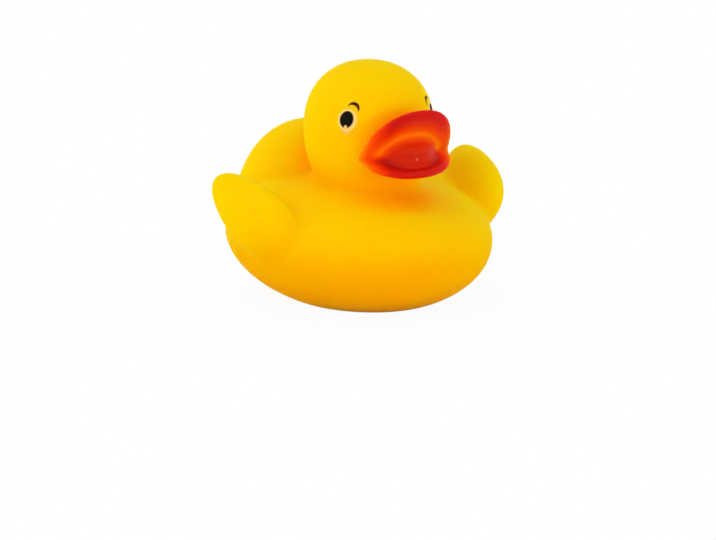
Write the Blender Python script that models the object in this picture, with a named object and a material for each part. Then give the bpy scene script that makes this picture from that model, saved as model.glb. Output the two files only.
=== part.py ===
"""A small bath duck in soft vinyl, cast in one piece: bowl-shaped body with a broad upturned tail,
raised wings, a ball head and a wide-open bill. The casting is hollow, with an air hole in its base.
Metres, +Z up, the duck faces -Y and stands on z = 0."""
import math

import bmesh
import bpy
from mathutils import Matrix, Vector
from mathutils.bvhtree import BVHTree

# Casting
WALL = 0.0016
AIR_HOLE_RADIUS = 0.0015

# Bowl of the body, widest at BOWL_WIDEST_Z; its lower part leans forward like a boat's stern
BOWL_HALF_WIDTH = 0.0214
BOWL_HALF_LENGTH = 0.0243
BOWL_WIDEST_Z = 0.0110
BOWL_DEPTH = 0.0125
BOWL_CROWN = 0.0096
BOWL_FULLNESS = 2.15
BOWL_BACK_RISE = 0.2
BOWL_LEAN = 0.0022

# Head
HEAD_RADIUS = 0.0107
HEAD_CROWN = 0.0110
HEAD_BROW = 0.0009
HEAD_JOWL = 0.0138
HEAD_FULLNESS = 2.2
HEAD_Y = -0.0030
HEAD_Z = 0.0292

# Shoulders: a low broad form from wing to wing behind the neck
SHOULDER_HALF_WIDTH = 0.0225
SHOULDER_HALF_LENGTH = 0.0130
SHOULDER_HALF_HEIGHT = 0.0076
SHOULDER_Y = 0.0030
SHOULDER_Z = 0.0132
SHOULDER_FULLNESS = 2.6
SHOULDER_SIDE_RISE = 0.22

# Rump: a broad mass behind the head, leaning back to an upturned tail
RUMP_HALF_WIDTH = 0.0156
RUMP_HALF_LENGTH = 0.0108
RUMP_RISE = 0.0154
RUMP_DROP = 0.0080
RUMP_Y = 0.0120
RUMP_Z = 0.0126
RUMP_LEAN = 0.0030
RUMP_FULLNESS = 2.05

# Wings, each a paddle with its tip up, back and out
WING_HALF_LENGTH = 0.0108
WING_HALF_HEIGHT = 0.0060
WING_HALF_THICKNESS = 0.0039
WING_X = 0.0216
WING_Y = -0.0016
WING_Z = 0.0164
WING_RISE = math.radians(22)
WING_SPLAY = math.radians(12)
WING_LEAN = math.radians(24)
WING_FULLNESS = 2.3
WING_TAPER = 0.08

# Bill: a loft whose rings have their corners at the sides of the mouth. Reaches are taken forward
# from the head's axis and heights up from the head's centre; the arch values round the rings off
BILL_HALF_WIDTH = 0.0083
CORNER_REACH = 0.0104
CORNER_HEIGHT = -0.0033
UPPER_REACH = 0.0160
UPPER_HEIGHT = 0.0048
LOWER_REACH = 0.0162
LOWER_HEIGHT = -0.0061
LIP = 0.0012
LIP_TUCK = 0.0004
ROOT_HALF_WIDTH = 0.0056
ROOT_REACH = 0.0080
ROOT_HEIGHT = 0.0008
ROOT_DROP = -0.0060
ARCH_WIDTH = 0.88
ARCH_REACH = 1.2
ARCH_HEIGHT = 1.1

# Mouth: a crease around a raised tongue, whose end ring is a share of its section
MOUTH_HALF_WIDTH = 0.0056
MOUTH_UPPER_REACH = 0.0130
MOUTH_UPPER_HEIGHT = -0.0004
MOUTH_LOWER_REACH = 0.0143
MOUTH_LOWER_HEIGHT = -0.0049
TONGUE_HALF_WIDTH = 0.0043
TONGUE_REACH = 0.0154
TONGUE_ROUND = 0.0012
TONGUE_HEIGHT = -0.0026
TONGUE_HALF_HEIGHT = 0.0016
TONGUE_END = 0.5

# Meshing: a fine skin, then fewer facets. Both skins are smoothed over about the same distance
SKIN_VOXEL = 0.0005
SKIN_PASSES = 90
BILL_VOXEL = 0.0003
BILL_PASSES = 4
CAVITY_VOXEL = 0.0009
CAVITY_PASSES = 28
SMOOTHING = 0.5
SKIN_TRIANGLES = 9200
CAVITY_TRIANGLES = 2000
BASE_TRIM = 0.0001
SNAP = 0.00006
MERGE = 0.000001
SEGMENTS = 48
RINGS = 24
HOLE_SEGMENTS = 32


def clear_scene():
    for thing in list(bpy.data.objects):
        bpy.data.objects.remove(thing, do_unlink=True)


def material(name, colour, roughness):
    finish = bpy.data.materials.new(name)
    finish.use_nodes = True
    shader = finish.node_tree.nodes["Principled BSDF"]
    shader.inputs["Base Color"].default_value = (*colour, 1.0)
    shader.inputs["Roughness"].default_value = roughness
    shader.inputs["Metallic"].default_value = 0.0
    return finish


def ball(shape, placed):
    """A unit sphere put through a function of its points, then placed."""
    form = bmesh.new()
    bmesh.ops.create_uvsphere(form, u_segments=SEGMENTS, v_segments=RINGS, radius=1.0)
    for vert in form.verts:
        vert.co = placed @ shape(vert.co)
    return form


def swell(point, fullness):
    """The unit sphere's height at a point, made boxier by a fullness over 2."""
    spread = min(math.hypot(point.x, point.y), 1.0)
    return math.copysign((1 - spread ** fullness) ** (1 / fullness), point.z)


def bowl(inset=0.0):
    def shape(point):
        if point.z > 0:
            rise = 1 + BOWL_BACK_RISE * point.y
            height = swell(point, BOWL_FULLNESS) * (BOWL_CROWN - inset) * rise
        else:
            height = point.z * (BOWL_DEPTH - inset)
        lean = BOWL_LEAN * min(height, 0.0) / BOWL_WIDEST_Z
        return Vector((point.x * (BOWL_HALF_WIDTH - inset),
                       point.y * (BOWL_HALF_LENGTH - inset) + lean, height))

    form = ball(shape, Matrix.Translation((0, 0, BOWL_WIDEST_Z)))
    cut = bmesh.ops.bisect_plane(form, geom=form.verts[:] + form.edges[:] + form.faces[:],
                                 plane_co=(0, 0, inset), plane_no=(0, 0, -1), clear_outer=True)
    rim = [item for item in cut["geom_cut"] if isinstance(item, bmesh.types.BMEdge)]
    bmesh.ops.holes_fill(form, edges=rim, sides=0)
    return form


def head(inset=0.0):
    def shape(point):
        reach = HEAD_CROWN if point.z > 0 else HEAD_JOWL
        length = HEAD_RADIUS + (HEAD_BROW if point.y < 0 else 0.0)
        return Vector((point.x * (HEAD_RADIUS - inset), point.y * (length - inset),
                       swell(point, HEAD_FULLNESS) * (reach - inset)))

    return ball(shape, Matrix.Translation((0, HEAD_Y, HEAD_Z)))


def shoulders(inset=0.0):
    def shape(point):
        rise = 1 + SHOULDER_SIDE_RISE * point.x ** 2
        return Vector((point.x * (SHOULDER_HALF_WIDTH - inset), point.y * (SHOULDER_HALF_LENGTH - inset),
                       swell(point, SHOULDER_FULLNESS) * (SHOULDER_HALF_HEIGHT - inset) * rise))

    return ball(shape, Matrix.Translation((0, SHOULDER_Y, SHOULDER_Z)))


def rump(inset=0.0):
    def shape(point):
        if point.z > 0:
            height = swell(point, RUMP_FULLNESS) * (RUMP_RISE - inset)
        else:
            height = point.z * (RUMP_DROP - inset)
        back = RUMP_LEAN * max(point.z, 0.0) ** 2
        return Vector((point.x * (RUMP_HALF_WIDTH - inset),
                       point.y * (RUMP_HALF_LENGTH - inset) + back, height))

    return ball(shape, Matrix.Translation((0, RUMP_Y, RUMP_Z)))


def wing(side, inset=0.0):
    """The paddle's long axis starts along +Y, rises to its tip, splays and leans to its own side."""
    def shape(point):
        size = 1 - WING_TAPER * point.y
        return Vector((point.x * size * (WING_HALF_THICKNESS - inset), point.y * (WING_HALF_LENGTH - inset),
                       swell(point, WING_FULLNESS) * size * (WING_HALF_HEIGHT - inset)))

    turned = (Matrix.Rotation(-side * WING_SPLAY, 4, "Z") @ Matrix.Rotation(WING_RISE, 4, "X")
              @ Matrix.Rotation(side * WING_LEAN, 4, "Y"))
    return ball(shape, Matrix.Translation((side * WING_X, WING_Y, WING_Z)) @ turned)


def bill_rings():
    """Half width, side, top and foot of each ring: from the root inside the head out to the rim,
    over the lip, into the mouth and up the tongue."""
    corner = (CORNER_REACH, CORNER_HEIGHT)
    inner = (CORNER_REACH + LIP, CORNER_HEIGHT)
    tongue_front = TONGUE_REACH - TONGUE_ROUND / 2
    end_half_height = TONGUE_HALF_HEIGHT * TONGUE_END
    return [
        (ROOT_HALF_WIDTH, (ROOT_REACH, CORNER_HEIGHT), (ROOT_REACH, ROOT_HEIGHT), (ROOT_REACH, ROOT_DROP)),
        (BILL_HALF_WIDTH, corner, (UPPER_REACH - LIP, UPPER_HEIGHT - LIP_TUCK),
         (LOWER_REACH - LIP, LOWER_HEIGHT - LIP_TUCK)),
        (BILL_HALF_WIDTH, corner, (UPPER_REACH, UPPER_HEIGHT), (LOWER_REACH, LOWER_HEIGHT)),
        (BILL_HALF_WIDTH - LIP, inner, (UPPER_REACH, UPPER_HEIGHT - LIP), (LOWER_REACH, LOWER_HEIGHT + LIP)),
        (MOUTH_HALF_WIDTH, inner, (MOUTH_UPPER_REACH, MOUTH_UPPER_HEIGHT),
         (MOUTH_LOWER_REACH, MOUTH_LOWER_HEIGHT)),
        (TONGUE_HALF_WIDTH, (TONGUE_REACH - 2 * TONGUE_ROUND, TONGUE_HEIGHT),
         (TONGUE_REACH - TONGUE_ROUND, TONGUE_HEIGHT + TONGUE_HALF_HEIGHT),
         (tongue_front, TONGUE_HEIGHT - TONGUE_HALF_HEIGHT)),
        (TONGUE_HALF_WIDTH * TONGUE_END, (tongue_front, TONGUE_HEIGHT),
         (TONGUE_REACH, TONGUE_HEIGHT + end_half_height), (TONGUE_REACH, TONGUE_HEIGHT - end_half_height)),
    ]


def bill():
    """A loft over the rings; each ring arches from its corners over the mouth and under it."""
    form = bmesh.new()
    across = form.verts.layers.float.new("across")
    lifted = form.verts.layers.float.new("lifted")
    ring = bmesh.ops.create_circle(form, segments=SEGMENTS, radius=1.0)["verts"]
    for vert in ring:
        vert[across] = math.copysign(abs(vert.co.x) ** ARCH_WIDTH, vert.co.x)
        vert[lifted] = vert.co.y
    edges = form.edges[:]
    bmesh.ops.contextual_create(form, geom=edges)
    for number, (half_width, side, upper, lower) in enumerate(bill_rings()):
        if number:
            grown = bmesh.ops.extrude_edge_only(form, edges=edges)["geom"]
            ring = [item for item in grown if isinstance(item, bmesh.types.BMVert)]
            edges = [item for item in grown if isinstance(item, bmesh.types.BMEdge)
                     and all(vert in ring for vert in item.verts)]
        for vert in ring:
            far = upper if vert[lifted] >= 0 else lower
            lift = abs(vert[lifted])
            reach = side[0] + (far[0] - side[0]) * lift ** ARCH_REACH
            height = side[1] + (far[1] - side[1]) * lift ** ARCH_HEIGHT
            vert.co = (half_width * vert[across], HEAD_Y - reach, HEAD_Z + height)
    bmesh.ops.contextual_create(form, geom=edges)
    bmesh.ops.recalc_face_normals(form, faces=form.faces[:])
    return form


def new_object(name, mesh):
    thing = bpy.data.objects.new(name, mesh)
    bpy.context.scene.collection.objects.link(thing)
    return thing


def evaluated(thing):
    """The object's mesh with its modifiers worked in; the object itself is removed."""
    graph = bpy.context.evaluated_depsgraph_get()
    mesh = bpy.data.meshes.new_from_object(thing.evaluated_get(graph), depsgraph=graph)
    bpy.data.objects.remove(thing, do_unlink=True)
    return mesh


def joined(forms):
    mesh = bpy.data.meshes.new("forms")
    whole = bmesh.new()
    for form in forms:
        part = bpy.data.meshes.new("form")
        form.to_mesh(part)
        form.free()
        whole.from_mesh(part)
    whole.to_mesh(mesh)
    whole.free()
    return mesh


def blended(mesh, voxel, passes):
    """One skin over overlapping forms, with soft fillets where they meet."""
    thing = new_object("blend", mesh)
    skin = thing.modifiers.new("Skin", "REMESH")
    skin.mode = "VOXEL"
    skin.voxel_size = voxel
    soft = thing.modifiers.new("Soft", "SMOOTH")
    soft.factor = SMOOTHING
    soft.iterations = passes
    return evaluated(thing)


def thinned(mesh, triangles):
    thing = new_object("thin", mesh)
    count = sum(len(face.vertices) - 2 for face in mesh.polygons)
    fewer = thing.modifiers.new("Fewer", "DECIMATE")
    fewer.ratio = min(1.0, triangles / count)
    return evaluated(thing)


def trimmed(form, place, outward):
    """What lies beyond a plane goes, with any face or edge that the cut leaves lying in the plane."""
    bmesh.ops.bisect_plane(form, geom=form.verts[:] + form.edges[:] + form.faces[:], dist=SNAP,
                           use_snap_center=True, plane_co=place, plane_no=outward, clear_outer=True)
    flat = [face for face in form.faces
            if all(abs((vert.co - place).dot(outward)) < MERGE for vert in face.verts)]
    bmesh.ops.delete(form, geom=flat, context="FACES")
    loose = [edge for edge in form.edges if not edge.link_faces]
    bmesh.ops.delete(form, geom=loose, context="EDGES")


def halved_and_mirrored(mesh, floor):
    """Both sides alike: the +X half is kept and mirrored, and the base is cut flat."""
    form = bmesh.new()
    form.from_mesh(mesh)
    trimmed(form, Vector((0, 0, 0)), Vector((-1, 0, 0)))
    bmesh.ops.mirror(form, geom=form.verts[:] + form.edges[:] + form.faces[:], axis="X",
                     matrix=Matrix.Identity(4), merge_dist=MERGE)
    trimmed(form, Vector((0, 0, floor)), Vector((0, 0, -1)))
    rim = [edge for edge in form.edges if edge.is_boundary]
    bmesh.ops.holes_fill(form, edges=rim, sides=0)
    bmesh.ops.recalc_face_normals(form, faces=form.faces[:])
    form.to_mesh(mesh)
    form.free()
    return mesh


def skin_mesh():
    forms = [bowl(), head(), shoulders(), rump(), wing(1), wing(-1)]
    trunk = blended(joined(forms), SKIN_VOXEL, SKIN_PASSES)
    whole = bmesh.new()
    whole.from_mesh(trunk)
    open_bill = joined([bill()])
    whole.from_mesh(open_bill)
    whole.to_mesh(trunk)
    whole.free()
    fine = blended(trunk, BILL_VOXEL, BILL_PASSES)
    return halved_and_mirrored(thinned(fine, SKIN_TRIANGLES), BASE_TRIM), open_bill


def cavity_mesh():
    forms = [bowl(WALL), head(WALL), shoulders(WALL), rump(WALL), wing(1, WALL), wing(-1, WALL)]
    fine = blended(joined(forms), CAVITY_VOXEL, CAVITY_PASSES)
    return halved_and_mirrored(thinned(fine, CAVITY_TRIANGLES), WALL)


def air_hole():
    form = bmesh.new()
    bmesh.ops.create_cone(form, cap_ends=True, segments=HOLE_SEGMENTS, radius1=AIR_HOLE_RADIUS,
                          radius2=AIR_HOLE_RADIUS, depth=4 * WALL,
                          matrix=Matrix.Translation((0, -BOWL_LEAN, WALL)))
    mesh = bpy.data.meshes.new("air_hole")
    form.to_mesh(mesh)
    form.free()
    return mesh


def cut_out(thing, name, mesh):
    cutter = new_object(name, mesh)
    cutter.hide_render = True
    cutter.display_type = "WIRE"
    cut = thing.modifiers.new(name, "BOOLEAN")
    cut.operation = "DIFFERENCE"
    cut.solver = "EXACT"
    cut.object = cutter
    return cutter


def build():
    clear_scene()
    outer, open_bill = skin_mesh()
    casting = new_object("duck_body", outer)
    cutters = [cut_out(casting, "cavity", cavity_mesh()), cut_out(casting, "air_hole", air_hole())]
    hollow = evaluated(casting)
    for cutter in cutters:
        bpy.data.objects.remove(cutter, do_unlink=True)

    hollow.transform(Matrix.Translation((0, 0, -BASE_TRIM)))
    duck = new_object("duck_body", hollow)
    hollow.materials.clear()
    hollow.materials.append(material("yellow_vinyl", (0.95, 0.62, 0.01), 0.5))
    hollow.materials.append(material("red_paint", (0.62, 0.02, 0.01), 0.3))
    near_bill = BVHTree.FromPolygons([vert.co for vert in open_bill.vertices],
                                     [face.vertices for face in open_bill.polygons])
    for face in hollow.polygons:
        face.use_smooth = True
        distance = near_bill.find_nearest(face.center)[3]
        face.material_index = 1 if distance < BILL_VOXEL else 0
    return duck


build()
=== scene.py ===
import math

import bmesh
import bpy
from mathutils import Matrix, Vector
from mathutils.bvhtree import BVHTree
from mathutils.interpolate import poly_3d_calc
from mathutils.kdtree import KDTree


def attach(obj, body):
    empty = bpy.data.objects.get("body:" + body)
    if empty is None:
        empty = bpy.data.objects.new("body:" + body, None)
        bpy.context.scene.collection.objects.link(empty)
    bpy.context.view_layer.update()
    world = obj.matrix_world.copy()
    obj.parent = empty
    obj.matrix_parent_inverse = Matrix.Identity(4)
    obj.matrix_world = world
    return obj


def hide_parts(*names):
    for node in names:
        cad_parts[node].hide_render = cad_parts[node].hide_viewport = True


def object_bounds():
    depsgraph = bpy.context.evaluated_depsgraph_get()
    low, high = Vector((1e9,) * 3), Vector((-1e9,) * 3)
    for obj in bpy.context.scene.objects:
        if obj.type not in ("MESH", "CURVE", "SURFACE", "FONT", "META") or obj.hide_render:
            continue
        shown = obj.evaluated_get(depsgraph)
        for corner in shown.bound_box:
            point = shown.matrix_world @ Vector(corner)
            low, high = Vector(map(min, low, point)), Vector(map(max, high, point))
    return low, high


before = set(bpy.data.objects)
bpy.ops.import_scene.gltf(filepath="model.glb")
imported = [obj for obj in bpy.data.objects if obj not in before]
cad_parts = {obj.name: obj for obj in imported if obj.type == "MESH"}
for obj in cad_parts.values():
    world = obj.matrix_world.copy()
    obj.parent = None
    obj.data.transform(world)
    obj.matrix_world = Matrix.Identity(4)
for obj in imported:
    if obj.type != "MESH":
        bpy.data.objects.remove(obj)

cad_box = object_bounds()

# The casting's sizes, in metres and with +Z up: the duck faces -Y and stands on z = 0
AIR_HOLE_RADIUS = 0.0015
AIR_HOLE_DEPTH = 0.0050

BOWL_HALF_WIDTH = 0.0214
BOWL_HALF_LENGTH = 0.0243
BOWL_WIDEST_Z = 0.0110
BOWL_DEPTH = 0.0125
BOWL_CROWN = 0.0096
BOWL_FULLNESS = 2.15
BOWL_BACK_RISE = 0.2
BOWL_LEAN = 0.0022

HEAD_RADIUS = 0.0107
HEAD_CROWN = 0.0110
HEAD_BROW = 0.0009
HEAD_JOWL = 0.0130
HEAD_FULLNESS = 2.2
HEAD_Y = -0.0030
HEAD_Z = 0.0292

SHOULDER_HALF_WIDTH = 0.0225
SHOULDER_HALF_LENGTH = 0.0130
SHOULDER_HALF_HEIGHT = 0.0073
SHOULDER_Y = 0.0030
SHOULDER_Z = 0.0127
SHOULDER_FULLNESS = 2.6
SHOULDER_SIDE_RISE = 0.22

RUMP_HALF_WIDTH = 0.0156
RUMP_HALF_LENGTH = 0.0108
RUMP_RISE = 0.0154
RUMP_DROP = 0.0080
RUMP_Y = 0.0120
RUMP_Z = 0.0126
RUMP_LEAN = 0.0030
RUMP_FULLNESS = 2.05

WING_HALF_LENGTH = 0.0093
WING_HALF_HEIGHT = 0.0060
WING_HALF_THICKNESS = 0.0043
WING_X = 0.0215
WING_Y = -0.0012
WING_Z = 0.0167
WING_RISE = math.radians(30)
WING_SPLAY = math.radians(18)
WING_LEAN = math.radians(26)
WING_FULLNESS = 2.3
WING_TAPER = 0.24

# Bill: reaches are taken forward from the head's axis and heights up from the head's centre
BILL_HALF_WIDTH = 0.0090
CORNER_REACH = 0.0100
CORNER_HEIGHT = -0.0033
UPPER_REACH = 0.0162
UPPER_HEIGHT = 0.0051
LOWER_REACH = 0.0162
LOWER_HEIGHT = -0.0062
LIP = 0.0012
LIP_TUCK = 0.0004
ROOT_HALF_WIDTH = 0.0056
ROOT_REACH = 0.0080
ROOT_HEIGHT = 0.0008
ROOT_DROP = -0.0060
ARCH_WIDTH = 0.88
ARCH_REACH = 1.2
ARCH_HEIGHT = 1.1
MOUTH_HALF_WIDTH = 0.0056
MOUTH_UPPER_REACH = 0.0130
MOUTH_UPPER_HEIGHT = 0.0000
MOUTH_LOWER_REACH = 0.0143
MOUTH_LOWER_HEIGHT = -0.0049
TONGUE_HALF_WIDTH = 0.0044
TONGUE_REACH = 0.0154
TONGUE_ROUND = 0.0012
TONGUE_HEIGHT = -0.0029
TONGUE_HALF_HEIGHT = 0.0019
TONGUE_END = 0.5

# Meshing of the shown skin: voxels in metres, passes of smoothing, and the segments and rings of a form
TRUNK_VOXEL = 0.0005
TRUNK_PASSES = 65
SKIN_VOXEL = 0.00024
SKIN_PASSES = 5
SKIN_TRIANGLES = 170000
BILL_LEVELS = 2
BASE_TRIM = 0.0001
MERGE_DISTANCE = 1e-6
SMOOTH_FACTOR = 0.5
SEGMENTS = 48
RINGS = 24

# Paint of the bill: how red it is at each ring of its loft, over the mouth and under it, 0 bare and 1
# deep red, and how far it spreads and fades from the loft and toward the corners of the mouth
# The low value over the mouth at its crease ring gives a lighter orange line, partly thin paint and
# partly a painted highlight along the ridge
PAINT_OVER = (0.0, 0.60, 0.95, 0.90, 0.30, 0.68, 0.74)
PAINT_UNDER = (0.0, 0.60, 0.88, 0.92, 0.95, 0.74, 0.74)
PAINT_SPREAD = 0.0012
CORNER_FADE = 0.0042
CORNER_SHARE = 0.22
LIP_BLEND = 2.5
PAINT_COVER = (0.02, 0.25)
GLOSS_SPAN = (0.3, 0.8)

# Painted shade: amber is painted on the vinyl where it is shut in or lies low, for the shade that falls
# there.
# The rays that feel it are given by their share along the surface's normal and across it
HOLLOW_TRIANGLES = 14000
HOLLOW_REACH = 0.014
HOLLOW_START = 0.0002
HOLLOW_RAYS = ((0.92, 0.39), (0.60, 0.80), (0.25, 0.97))
HOLLOW_TURNS = 8
HOLLOW_PASSES = 8
HOLLOW_NEIGHBOURS = 6
HOLLOW_NEAREST = 1e-5
HOLLOW_SHADE_SPAN = (0.08, 0.45)
LOW_SHADE_TOP = 0.017

# Eye: painted on each side of the head. Its place is in metres, and the rest in millimetres across, to
# the front, and up its own plane
MILLIMETRES = 1000
EYE_PLACE = Vector((0.00825, -0.0094, 0.03183))
EYE_TURN = math.radians(52)
EYE_TILT = math.radians(15)
PUPIL_HALF = (1.18, 1.40)
PUPIL_LEAN = math.radians(15)
GLINT_PLACE = (-0.12, -1.18)
GLINT_HALF = (0.24, 0.24)
RING_PLACE = (0.12, -0.10)
RING_HALF = (1.68, 1.80)
BAG_PLACE = (-0.10, -1.95)
BAG_HALF = (0.72, 0.42)
BROW_PLACE = (1.00, 1.87)
BROW_RADIUS = 1.06
BROW_THICKNESS = 0.62
BROW_TURN = math.radians(64)
PAINT_EDGE = 0.10
LEFT_EYE_SHIFT = 1.5

# Vinyl and its paint
MOTTLE_SCALE = 140.0
MOTTLE_DETAIL = 3.0
MOTTLE_SHARE = 0.10
GRAIN_SCALE = 2600.0
GRAIN_DETAIL = 2.0
GRAIN_STRENGTH = 0.06
GRAIN_DEPTH = 0.0001
VINYL_ROUGHNESS = 0.62
PAINT_ROUGHNESS = 0.40
COAT_WEIGHT = 0.13
COAT_ROUGHNESS = 0.13
SPECULAR_LEVEL = 0.02
SOFTNESS_COLOURS = (1.0, 0.20, 0.02)
SOFTNESS_DEPTH = 0.013

# Camera: the target lies in the middle column of the photo, at the named row
TARGET = Vector((0, 0, 0.020))
CAMERA_AZIMUTH = math.radians(-33)
CAMERA_ELEVATION = math.radians(11)
CAMERA_DISTANCE = 0.600
PHOTO_WIDTH = 716
PHOTO_HEIGHT = 540
PIXELS_PER_METRE = 6060
TARGET_ROW = 177
SENSOR_WIDTH = 36
CLIP = (0.01, 20)

# Floor and light: name, place, width, height and power of each lamp. The floor is plain white to the
# eye from WHITE_FROM outward, and nearer the duck it keeps a part of the duck's shadow
FLOOR_RADIUS = 6.0
FLOOR_SEGMENTS = 64
FLOOR_ROUGHNESS = 0.9
SHADOW_TO = 0.02
WHITE_FROM = 0.06
WHITE_BY_DUCK = 0.95
SOFT_STRENGTH = 0.74
LAMPS = (
    ("key", (-0.85, 0.05, 0.65), 0.60, 0.60, 2.8),
    ("front_strip", (0.27, -0.87, 0.13), 0.05, 0.08, 1.5),
    ("left_strip", (-0.92, -0.22, 0.06), 0.08, 0.16, 0.4),
)


def srgb(red, green, blue):
    """A colour as written on a screen, 0 to 255, turned into the renderer's linear values."""
    def linear(value):
        value /= 255
        return value / 12.92 if value <= 0.04045 else ((value + 0.055) / 1.055) ** 2.4
    return (linear(red), linear(green), linear(blue), 1.0)


def clamped(value):
    return min(1.0, max(0.0, value))


# ---- forms of the casting

def ball(shape, placed):
    """A unit sphere put through a function of its points, then placed."""
    form = bmesh.new()
    bmesh.ops.create_uvsphere(form, u_segments=SEGMENTS, v_segments=RINGS, radius=1.0)
    for vert in form.verts:
        vert.co = placed @ shape(vert.co)
    return form


def swell(point, fullness):
    """The unit sphere's height at a point, made boxier by a fullness over 2."""
    spread = min(math.hypot(point.x, point.y), 1.0)
    return math.copysign((1 - spread ** fullness) ** (1 / fullness), point.z)


def everything(form):
    return form.verts[:] + form.edges[:] + form.faces[:]


def cut_flat(form, height):
    """What lies below a height goes, and the opening is closed with a flat face."""
    cut = bmesh.ops.bisect_plane(form, geom=everything(form), plane_co=(0, 0, height),
                                 plane_no=(0, 0, -1), clear_outer=True)
    rim = [item for item in cut["geom_cut"] if isinstance(item, bmesh.types.BMEdge)]
    bmesh.ops.holes_fill(form, edges=rim, sides=0)


def bowl():
    """The body that floats: round over its widest height and cut flat under it."""
    def shape(point):
        if point.z > 0:
            height = swell(point, BOWL_FULLNESS) * BOWL_CROWN * (1 + BOWL_BACK_RISE * point.y)
        else:
            height = point.z * BOWL_DEPTH
        lean = BOWL_LEAN * min(height, 0.0) / BOWL_WIDEST_Z
        return Vector((point.x * BOWL_HALF_WIDTH, point.y * BOWL_HALF_LENGTH + lean, height))

    form = ball(shape, Matrix.Translation((0, 0, BOWL_WIDEST_Z)))
    cut_flat(form, 0)
    return form


def head():
    def shape(point):
        length = HEAD_RADIUS + (HEAD_BROW if point.y < 0 else 0.0)
        height = swell(point, HEAD_FULLNESS) * (HEAD_CROWN if point.z > 0 else HEAD_JOWL)
        return Vector((point.x * HEAD_RADIUS, point.y * length, height))

    return ball(shape, Matrix.Translation((0, HEAD_Y, HEAD_Z)))


def shoulders():
    """A low broad form from wing to wing behind the neck."""
    def shape(point):
        rise = 1 + SHOULDER_SIDE_RISE * point.x ** 2
        return Vector((point.x * SHOULDER_HALF_WIDTH, point.y * SHOULDER_HALF_LENGTH,
                       swell(point, SHOULDER_FULLNESS) * SHOULDER_HALF_HEIGHT * rise))

    return ball(shape, Matrix.Translation((0, SHOULDER_Y, SHOULDER_Z)))


def rump():
    """The back, which rises to the tail."""
    def shape(point):
        height = swell(point, RUMP_FULLNESS) * RUMP_RISE if point.z > 0 else point.z * RUMP_DROP
        back = RUMP_LEAN * max(point.z, 0.0) ** 2
        return Vector((point.x * RUMP_HALF_WIDTH, point.y * RUMP_HALF_LENGTH + back, height))

    return ball(shape, Matrix.Translation((0, RUMP_Y, RUMP_Z)))


def wing(side):
    """The paddle's long axis starts along +Y, rises to its tip and splays out to its own side."""
    def shape(point):
        size = 1 - WING_TAPER * point.y
        return Vector((point.x * WING_HALF_THICKNESS * size, point.y * WING_HALF_LENGTH,
                       swell(point, WING_FULLNESS) * WING_HALF_HEIGHT * size))

    turned = (Matrix.Rotation(-side * WING_SPLAY, 4, "Z") @ Matrix.Rotation(WING_RISE, 4, "X")
              @ Matrix.Rotation(side * WING_LEAN, 4, "Y"))
    return ball(shape, Matrix.Translation((side * WING_X, WING_Y, WING_Z)) @ turned)


def bill():
    """A loft from the root inside the head out to the rim, over the lip, into the mouth and up the
    tongue. Every ring is a lens: its corners are at the sides of the mouth, with an arch over and
    an arch under it. Each point keeps its ring's number and its place on the ring, for the paint."""
    form = bmesh.new()
    across = form.verts.layers.float.new("across")
    lifted = form.verts.layers.float.new("lifted")
    stage = form.verts.layers.float.new("stage")
    ring = bmesh.ops.create_circle(form, segments=SEGMENTS, radius=1.0)["verts"]
    for vert in ring:
        vert[across] = math.copysign(abs(vert.co.x) ** ARCH_WIDTH, vert.co.x)
        vert[lifted] = vert.co.y
    edges = form.edges[:]
    bmesh.ops.contextual_create(form, geom=edges)

    corner = (CORNER_REACH, CORNER_HEIGHT)
    inner = (CORNER_REACH + LIP, CORNER_HEIGHT)
    tongue_front = TONGUE_REACH - TONGUE_ROUND / 2
    end_half_height = TONGUE_HALF_HEIGHT * TONGUE_END
    # Each ring: its half width, then reach and height of its corners, of its upper arch and its lower
    rings = [
        (ROOT_HALF_WIDTH, (ROOT_REACH, CORNER_HEIGHT), (ROOT_REACH, ROOT_HEIGHT),
         (ROOT_REACH, ROOT_DROP)),
        (BILL_HALF_WIDTH, corner, (UPPER_REACH - LIP, UPPER_HEIGHT - LIP_TUCK),
         (LOWER_REACH - LIP, LOWER_HEIGHT - LIP_TUCK)),
        (BILL_HALF_WIDTH, corner, (UPPER_REACH, UPPER_HEIGHT), (LOWER_REACH, LOWER_HEIGHT)),
        (BILL_HALF_WIDTH - LIP, inner, (UPPER_REACH, UPPER_HEIGHT - LIP),
         (LOWER_REACH, LOWER_HEIGHT + LIP)),
        (MOUTH_HALF_WIDTH, inner, (MOUTH_UPPER_REACH, MOUTH_UPPER_HEIGHT),
         (MOUTH_LOWER_REACH, MOUTH_LOWER_HEIGHT)),
        (TONGUE_HALF_WIDTH, (TONGUE_REACH - 2 * TONGUE_ROUND, TONGUE_HEIGHT),
         (TONGUE_REACH - TONGUE_ROUND, TONGUE_HEIGHT + TONGUE_HALF_HEIGHT),
         (tongue_front, TONGUE_HEIGHT - TONGUE_HALF_HEIGHT)),
        (TONGUE_HALF_WIDTH * TONGUE_END, (tongue_front, TONGUE_HEIGHT),
         (TONGUE_REACH, TONGUE_HEIGHT + end_half_height),
         (TONGUE_REACH, TONGUE_HEIGHT - end_half_height)),
    ]
    for number, (half_width, side, upper, lower) in enumerate(rings):
        if number:
            grown = bmesh.ops.extrude_edge_only(form, edges=edges)["geom"]
            ring = [item for item in grown if isinstance(item, bmesh.types.BMVert)]
            edges = [item for item in grown if isinstance(item, bmesh.types.BMEdge)
                     and all(vert in ring for vert in item.verts)]
        for vert in ring:
            far = upper if vert[lifted] >= 0 else lower
            lift = abs(vert[lifted])
            reach = side[0] + (far[0] - side[0]) * lift ** ARCH_REACH
            height = side[1] + (far[1] - side[1]) * lift ** ARCH_HEIGHT
            vert.co = (half_width * vert[across], HEAD_Y - reach, HEAD_Z + height)
            vert[stage] = number
    bmesh.ops.contextual_create(form, geom=edges)
    bmesh.ops.recalc_face_normals(form, faces=form.faces[:])
    return form


# ---- one skin over the forms

def new_object(name, mesh):
    thing = bpy.data.objects.new(name, mesh)
    bpy.context.scene.collection.objects.link(thing)
    return thing


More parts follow.
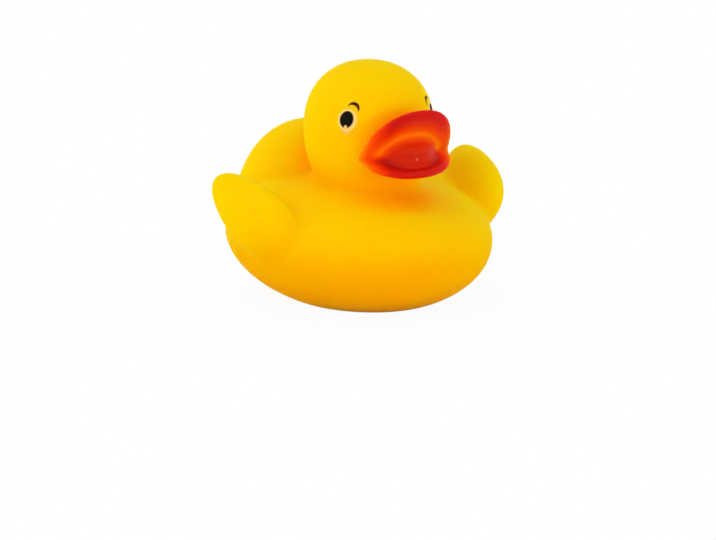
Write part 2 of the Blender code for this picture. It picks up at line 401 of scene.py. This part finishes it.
def evaluated(thing):
    """The object's mesh with its modifiers worked in; the object itself is removed."""
    graph = bpy.context.evaluated_depsgraph_get()
    mesh = bpy.data.meshes.new_from_object(thing.evaluated_get(graph), depsgraph=graph)
    bpy.data.objects.remove(thing, do_unlink=True)
    return mesh


def joined(forms):
    """One mesh that holds all the forms; the forms themselves are freed."""
    mesh = bpy.data.meshes.new("forms")
    whole = bmesh.new()
    for form in forms:
        part = bpy.data.meshes.new("form")
        form.to_mesh(part)
        form.free()
        whole.from_mesh(part)
    whole.to_mesh(mesh)
    whole.free()
    return mesh


def rounded(mesh, levels):
    """The mesh with its facets rounded off by subdivision."""
    thing = new_object("round", mesh)
    finer = thing.modifiers.new("Rounder", "SUBSURF")
    finer.levels = levels
    finer.render_levels = levels
    return evaluated(thing)


def blended(mesh, voxel, passes):
    """One skin over overlapping forms, with soft fillets where they meet."""
    thing = new_object("blend", mesh)
    skin = thing.modifiers.new("Skin", "REMESH")
    skin.mode = "VOXEL"
    skin.voxel_size = voxel
    soft = thing.modifiers.new("Soft", "SMOOTH")
    soft.factor = SMOOTH_FACTOR
    soft.iterations = passes
    return evaluated(thing)


def thinned(mesh, triangles):
    """The mesh brought down to about a number of triangles."""
    thing = new_object("thin", mesh)
    count = sum(len(face.vertices) - 2 for face in mesh.polygons)
    fewer = thing.modifiers.new("Fewer", "DECIMATE")
    fewer.ratio = min(1.0, triangles / count)
    return evaluated(thing)


def halved_and_mirrored(mesh, base):
    """Both sides alike: the +X half is kept and mirrored, and the base is cut flat."""
    form = bmesh.new()
    form.from_mesh(mesh)
    bmesh.ops.bisect_plane(form, geom=everything(form), plane_co=(0, 0, 0), plane_no=(-1, 0, 0),
                           clear_outer=True)
    bmesh.ops.mirror(form, geom=everything(form), axis="X", matrix=Matrix.Identity(4),
                     merge_dist=MERGE_DISTANCE)
    cut_flat(form, base)
    loose = [edge for edge in form.edges if not edge.link_faces]
    bmesh.ops.delete(form, geom=loose, context="EDGES")
    bmesh.ops.recalc_face_normals(form, faces=form.faces[:])
    form.to_mesh(mesh)
    form.free()
    return mesh


def drilled(mesh):
    """The mesh with the air hole in its base, blind because the shown skin has no hollow behind it."""
    tool = bmesh.new()
    bmesh.ops.create_cone(tool, cap_ends=True, segments=SEGMENTS, radius1=AIR_HOLE_RADIUS,
                          radius2=AIR_HOLE_RADIUS, depth=2 * AIR_HOLE_DEPTH)
    cutter = new_object("air_hole", joined([tool]))
    thing = new_object("undrilled", mesh)
    cut = thing.modifiers.new("air_hole", "BOOLEAN")
    cut.operation = "DIFFERENCE"
    cut.solver = "EXACT"
    cut.object = cutter
    result = evaluated(thing)
    bpy.data.objects.remove(cutter)
    return result


def casting_mesh():
    """The shown skin, kept inside the CAD box, and the bill's loft, which its paint is read from."""
    trunk = blended(joined([bowl(), head(), shoulders(), rump(), wing(1), wing(-1)]),
                    TRUNK_VOXEL, TRUNK_PASSES)
    whole = bmesh.new()
    whole.from_mesh(trunk)
    open_bill = rounded(joined([bill()]), BILL_LEVELS)
    whole.from_mesh(open_bill)
    whole.to_mesh(trunk)
    whole.free()
    fine = thinned(blended(trunk, SKIN_VOXEL, SKIN_PASSES), SKIN_TRIANGLES)
    skin = halved_and_mirrored(fine, BASE_TRIM)
    skin.transform(Matrix.Translation((0, 0, -BASE_TRIM)))
    for vert in skin.vertices:
        vert.co = [min(max(value, low), high) for value, low, high in zip(vert.co, *cad_box)]
    return drilled(skin), open_bill


# ---- paint and vinyl

RING_CREAM = srgb(255, 214, 130)
BAG_PINK = srgb(255, 190, 105)
PUPIL_BLACK = srgb(22, 22, 16)
BROW_BROWN = srgb(58, 26, 6)
FLOOR_WHITE = srgb(248, 248, 246)
PURE_WHITE = (1.0, 1.0, 1.0, 1.0)

# The vinyl from open and high to shut in or low, where its amber is painted shade, and the paint from
# its thin edge to its deepest red
# Amber of the painted shade, which the random mottle also leans to
SHADE_AND_MOTTLE_AMBER = srgb(255, 180, 0)
VINYL_AND_SHADE_TONES = [(0.0, srgb(245, 202, 0)), (0.45, SHADE_AND_MOTTLE_AMBER), (1.0, srgb(255, 162, 0))]
PAINT_TONES = [(0.0, srgb(255, 190, 0)), (0.20, srgb(255, 150, 4)), (0.42, srgb(240, 84, 4)),
               (0.62, srgb(214, 46, 1)), (0.80, srgb(182, 20, 3)), (1.0, srgb(150, 4, 3))]


def along(values, stage):
    """The value at a stage between two rings."""
    first = min(int(stage), len(values) - 2)
    return values[first] + (values[first + 1] - values[first]) * (stage - first)


def mark_paint(mesh, open_bill):
    """The red of the bill at each point of the skin, from the nearest point of the bill's loft."""
    near_bill = BVHTree.FromPolygons([vert.co for vert in open_bill.vertices],
                                     [face.vertices for face in open_bill.polygons])
    stages, lifts = open_bill.attributes["stage"].data, open_bill.attributes["lifted"].data
    layer = mesh.attributes.new("paint", "FLOAT", "POINT")
    for vert, cell in zip(mesh.vertices, layer.data):
        if vert.co.z < HEAD_Z + 2 * LOWER_HEIGHT or vert.co.y > HEAD_Y - ROOT_REACH:
            continue
        place, normal, index, distance = near_bill.find_nearest(vert.co)
        if distance > PAINT_SPREAD:
            continue
        corners = open_bill.polygons[index].vertices
        shares = poly_3d_calc([open_bill.vertices[corner].co for corner in corners], place)
        stage = sum(share * stages[corner].value for share, corner in zip(shares, corners))
        lift = sum(share * lifts[corner].value for share, corner in zip(shares, corners))
        over = clamped(0.5 + LIP_BLEND * lift)
        red = over * along(PAINT_OVER, stage) + (1 - over) * along(PAINT_UNDER, stage)
        middle = clamped((BILL_HALF_WIDTH - abs(vert.co.x)) / CORNER_FADE)
        cell.value = red * (1 - distance / PAINT_SPREAD) * (CORNER_SHARE + (1 - CORNER_SHARE) * middle)


def mark_hollows(mesh):
    """How shut in each point of the skin is, for its painted shade, felt by short rays on a coarse copy
    and smoothed.
    """
    coarse = thinned(mesh.copy(), HOLLOW_TRIANGLES)
    tree = BVHTree.FromPolygons([vert.co for vert in coarse.vertices],
                                [face.vertices for face in coarse.polygons])
    rays = [Vector((math.cos(turn) * across, math.sin(turn) * across, along_normal))
            for along_normal, across in HOLLOW_RAYS
            for turn in (math.tau * step / HOLLOW_TURNS + along_normal for step in range(HOLLOW_TURNS))]
    whole = sum(ray.z for ray in rays)
    shut = []
    for vert in coarse.vertices:
        turned = vert.normal.to_track_quat("Z", "Y")
        start = vert.co + vert.normal * HOLLOW_START
        blocked = 0.0
        for ray in rays:
            distance = tree.ray_cast(start, turned @ ray, HOLLOW_REACH)[3]
            if distance is not None:
                blocked += (1 - distance / HOLLOW_REACH) * ray.z
        shut.append(blocked / whole)
    for _ in range(HOLLOW_PASSES):
        sums, counts = shut[:], [1] * len(shut)
        for edge in coarse.edges:
            one, other = edge.vertices
            sums[one] += shut[other]
            sums[other] += shut[one]
            counts[one] += 1
            counts[other] += 1
        shut = [total / count for total, count in zip(sums, counts)]
    near = KDTree(len(coarse.vertices))
    for number, vert in enumerate(coarse.vertices):
        near.insert(vert.co, number)
    near.balance()
    layer = mesh.attributes.new("hollow", "FLOAT", "POINT")
    for vert, cell in zip(mesh.vertices, layer.data):
        found = [(shut[number], 1 / (distance + HOLLOW_NEAREST))
                 for place, number, distance in near.find_n(vert.co, HOLLOW_NEIGHBOURS)]
        cell.value = sum(value * share for value, share in found) / sum(share for value, share in found)
    bpy.data.meshes.remove(coarse)


class Net:
    """A node tree with short ways to add its nodes and feed their sockets."""

    def __init__(self, tree):
        self.tree = tree

    def feed(self, node, feeds):
        """Sockets are linked to sockets, and set to anything else."""
        for socket, value in dict(feeds).items():
            if isinstance(value, bpy.types.NodeSocket):
                self.tree.links.new(value, node.inputs[socket])
            else:
                node.inputs[socket].default_value = value

    def node(self, kind, feeds=(), **settings):
        made = self.tree.nodes.new(kind)
        for name, value in settings.items():
            setattr(made, name, value)
        self.feed(made, feeds)
        return made

    def math(self, operation, *values):
        return self.node("ShaderNodeMath", dict(enumerate(values)), operation=operation).outputs[0]

    def vector(self, operation, *values, output=0):
        made = self.node("ShaderNodeVectorMath", dict(enumerate(values)), operation=operation)
        return made.outputs[output]

    def length(self, value):
        return self.vector("LENGTH", value, output=1)

    def unless(self, mask, without):
        """The mask where the other one isn't."""
        return self.math("MULTIPLY", mask, self.math("SUBTRACT", 1.0, without))

    def span(self, value, start, end):
        """0 at the start and 1 at the end, eased between them."""
        return self.node("ShaderNodeMapRange", {"Value": value, "From Min": start, "From Max": end},
                         interpolation_type="SMOOTHSTEP").outputs["Result"]

    def over(self, factor, below, above):
        """One colour laid over another, as far as the factor says."""
        return self.node("ShaderNodeMix", {0: factor, 6: below, 7: above}, data_type="RGBA").outputs[2]

    def mixed(self, factor, first, second):
        return self.node("ShaderNodeMixShader", {0: factor, 1: first, 2: second}).outputs["Shader"]

    def ramp(self, factor, stops):
        made = self.node("ShaderNodeValToRGB", {"Fac": factor})
        elements = made.color_ramp.elements
        elements[0].position, elements[0].color = stops[0]
        elements[1].position, elements[1].color = stops[-1]
        for position, colour in stops[1:-1]:
            elements.new(position).color = colour
        return made.outputs["Color"]


def eye_paint():
    """A group: the colour and cover of the painted eyes and brows at a place on the head."""
    group = bpy.data.node_groups.new("eye_paint", "ShaderNodeTree")
    group.interface.new_socket("Place", in_out="INPUT", socket_type="NodeSocketVector")
    for name, kind in (("Colour", "NodeSocketColor"), ("Cover", "NodeSocketFloat")):
        group.interface.new_socket(name, in_out="OUTPUT", socket_type=kind)
    net = Net(group)
    place = net.node("NodeGroupInput").outputs["Place"]
    crossed = net.vector("MULTIPLY", net.vector("ABSOLUTE", place), (1.0, 0.0, 0.0))
    kept = net.vector("MULTIPLY", place, (0.0, 1.0, 1.0))
    away = net.vector("SUBTRACT", net.vector("ADD", crossed, kept), EYE_PLACE)
    to_front = Vector((-math.cos(EYE_TURN), -math.sin(EYE_TURN), 0)) * MILLIMETRES
    upward = Vector((-math.sin(EYE_TURN) * math.sin(EYE_TILT), math.cos(EYE_TURN) * math.sin(EYE_TILT),
                     math.cos(EYE_TILT))) * MILLIMETRES
    along_eye = net.vector("DOT_PRODUCT", away, to_front, output=1)
    far_side = net.math("GREATER_THAN", net.node("ShaderNodeSeparateXYZ", {0: place}).outputs["X"], 0.0)
    along_eye = net.math("SUBTRACT", along_eye, net.math("MULTIPLY", far_side, LEFT_EYE_SHIFT))
    up_eye = net.vector("DOT_PRODUCT", away, upward, output=1)
    flat_place = net.node("ShaderNodeCombineXYZ", {"X": along_eye, "Y": up_eye}).outputs[0]

    def oval(centre, half, lean=0.0):
        """1 inside an oval of the eye's plane and 0 outside it."""
        moved = net.vector("SUBTRACT", flat_place, (*centre, 0.0))
        turned = net.node("ShaderNodeVectorRotate", {"Vector": moved, "Angle": lean},
                          rotation_type="Z_AXIS").outputs[0]
        reach = net.length(net.vector("DIVIDE", turned, (*half, 1.0)))
        edge = PAINT_EDGE / min(half)
        return net.span(reach, 1 + edge, 1 - edge)

    pupil = oval((0.0, 0.0), PUPIL_HALF, PUPIL_LEAN)
    glint = oval(GLINT_PLACE, GLINT_HALF)
    ring = oval(RING_PLACE, RING_HALF, PUPIL_LEAN / 2)
    bag = net.unless(oval(BAG_PLACE, BAG_HALF),
                     oval((BAG_PLACE[0], BAG_PLACE[1] + BAG_HALF[1]), BAG_HALF))
    under_brow = (BROW_PLACE[0] - BROW_THICKNESS * math.cos(BROW_TURN),
                  BROW_PLACE[1] - BROW_THICKNESS * math.sin(BROW_TURN))
    brow_round = (BROW_RADIUS, BROW_RADIUS)
    brow = net.unless(oval(BROW_PLACE, brow_round), oval(under_brow, brow_round))
    dark = net.unless(pupil, glint)

    colour = net.over(ring, BAG_PINK, RING_CREAM)
    colour = net.over(dark, colour, PUPIL_BLACK)
    colour = net.over(brow, colour, BROW_BROWN)
    cover = net.math("MAXIMUM", net.math("MAXIMUM", ring, pupil), net.math("MAXIMUM", bag, brow))
    net.node("NodeGroupOutput", {"Colour": colour, "Cover": cover})
    return group


def vinyl_material():
    """Yellow vinyl with amber painted shade in its hollows and low down, with the red paint of the bill
    and the painted eyes.
    """
    finish = bpy.data.materials.new("painted_vinyl")
    finish.use_nodes = True
    net = Net(finish.node_tree)
    place = net.node("ShaderNodeTexCoord").outputs["Object"]
    paint = net.node("ShaderNodeAttribute", attribute_name="paint").outputs["Fac"]
    hollow = net.node("ShaderNodeAttribute", attribute_name="hollow").outputs["Fac"]
    height = net.node("ShaderNodeSeparateXYZ", {0: place}).outputs["Z"]

    # Painted shade: amber in the hollows and towards the bottom, where the shade falls
    deep = net.math("MAXIMUM", net.span(hollow, *HOLLOW_SHADE_SPAN), net.span(height, LOW_SHADE_TOP, 0.0))
    mottle = net.node("ShaderNodeTexNoise",
                      {"Vector": place, "Scale": MOTTLE_SCALE, "Detail": MOTTLE_DETAIL}).outputs["Fac"]
    colour = net.over(net.math("MULTIPLY", mottle, MOTTLE_SHARE), net.ramp(deep, VINYL_AND_SHADE_TONES), SHADE_AND_MOTTLE_AMBER)
    colour = net.over(net.span(paint, *PAINT_COVER), colour, net.ramp(paint, PAINT_TONES))
    eye = net.node("ShaderNodeGroup", node_tree=eye_paint())
    finish.node_tree.links.new(place, eye.inputs["Place"])
    colour = net.over(eye.outputs["Cover"], colour, eye.outputs["Colour"])

    gloss = net.span(paint, *GLOSS_SPAN)
    roughness = net.node("ShaderNodeMapRange", {"Value": gloss, "To Min": VINYL_ROUGHNESS,
                                                "To Max": PAINT_ROUGHNESS}).outputs["Result"]
    grain = net.node("ShaderNodeTexNoise",
                     {"Vector": place, "Scale": GRAIN_SCALE, "Detail": GRAIN_DETAIL}).outputs["Fac"]
    bump = net.node("ShaderNodeBump", {"Strength": GRAIN_STRENGTH, "Distance": GRAIN_DEPTH,
                                       "Height": grain})
    net.feed(finish.node_tree.nodes["Principled BSDF"], {
        "Base Color": colour, "Roughness": roughness, "Specular IOR Level": SPECULAR_LEVEL,
        "Coat Weight": net.math("MULTIPLY", gloss, COAT_WEIGHT), "Coat Roughness": COAT_ROUGHNESS,
        "Subsurface Weight": 1.0, "Subsurface Radius": SOFTNESS_COLOURS,
        "Subsurface Scale": SOFTNESS_DEPTH, "Normal": bump.outputs["Normal"]})
    return finish


# ---- stage

def look_at(thing, target):
    thing.rotation_euler = (target - thing.location).to_track_quat("-Z", "Y").to_euler()


def area_light(name, place, width, height, power):
    lamp = bpy.data.lights.new(name, "AREA")
    lamp.shape = "ELLIPSE"
    lamp.size, lamp.size_y = width, height
    lamp.energy = power
    thing = new_object(name, lamp)
    thing.location = place
    look_at(thing, TARGET)


def camera():
    """The camera of the photo: the target falls on its own row and the duck has its own size."""
    lens = bpy.data.cameras.new("camera")
    lens.sensor_width = SENSOR_WIDTH
    lens.lens = SENSOR_WIDTH * PIXELS_PER_METRE * CAMERA_DISTANCE / PHOTO_WIDTH
    lens.shift_y = (TARGET_ROW - PHOTO_HEIGHT / 2) / PHOTO_WIDTH
    lens.clip_start, lens.clip_end = CLIP
    thing = new_object("camera", lens)
    level = math.cos(CAMERA_ELEVATION)
    toward = Vector((math.sin(CAMERA_AZIMUTH) * level, -math.cos(CAMERA_AZIMUTH) * level,
                     math.sin(CAMERA_ELEVATION)))
    thing.location = TARGET + toward * CAMERA_DISTANCE
    look_at(thing, TARGET)
    bpy.context.scene.camera = thing


def seen_rays(net):
    """1 for what the eye sees, straight or in gloss or glass, and 0 for the light on the duck."""
    path = net.node("ShaderNodeLightPath").outputs
    straight_or_glossy = net.math("MAXIMUM", path["Is Camera Ray"], path["Is Glossy Ray"])
    return net.math("MAXIMUM", straight_or_glossy, path["Is Transmission Ray"])


def floor_material():
    """Plain white to the eye, with the duck's shadow kept close to it."""
    finish = bpy.data.materials.new("floor")
    finish.use_nodes = True
    net = Net(finish.node_tree)
    shader = finish.node_tree.nodes["Principled BSDF"]
    net.feed(shader, {"Base Color": FLOOR_WHITE, "Roughness": FLOOR_ROUGHNESS})
    white = net.node("ShaderNodeEmission").outputs["Emission"]
    reach = net.length(net.node("ShaderNodeTexCoord").outputs["Object"])
    fade = net.node("ShaderNodeMapRange", {
        "Value": reach, "From Min": SHADOW_TO, "From Max": WHITE_FROM, "To Min": WHITE_BY_DUCK,
        "To Max": 1.0}).outputs["Result"]
    share = net.math("MULTIPLY", fade, seen_rays(net))
    net.feed(finish.node_tree.nodes["Material Output"],
             {"Surface": net.mixed(share, shader.outputs["BSDF"], white)})
    return finish


def floor():
    form = bmesh.new()
    bmesh.ops.create_circle(form, cap_ends=True, segments=FLOOR_SEGMENTS, radius=FLOOR_RADIUS)
    mesh = joined([form])
    mesh.materials.append(floor_material())
    new_object("floor", mesh)


def daylight():
    """A world that lights softly and is white to the eye, a key lamp and two strips for the gloss."""
    world = bpy.data.worlds.new("studio")
    world.use_nodes = True
    net = Net(world.node_tree)
    soft = world.node_tree.nodes["Background"]
    net.feed(soft, {"Color": PURE_WHITE, "Strength": SOFT_STRENGTH})
    white = net.node("ShaderNodeBackground", {"Color": PURE_WHITE, "Strength": 1.0})
    both = net.mixed(seen_rays(net), soft.outputs["Background"], white.outputs["Background"])
    net.feed(world.node_tree.nodes["World Output"], {"Surface": both})
    bpy.context.scene.world = world
    for lamp in LAMPS:
        area_light(*lamp)


skin, open_bill = casting_mesh()
mark_paint(skin, open_bill)
mark_hollows(skin)
bpy.data.meshes.remove(open_bill)
skin.materials.clear()
skin.materials.append(vinyl_material())
for face in skin.polygons:
    face.use_smooth = True
casting = new_object("painted_casting", skin)
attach(casting, "root")
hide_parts("duck_body")

camera()
floor()
daylight()
bpy.context.scene.view_settings.view_transform = "Standard"
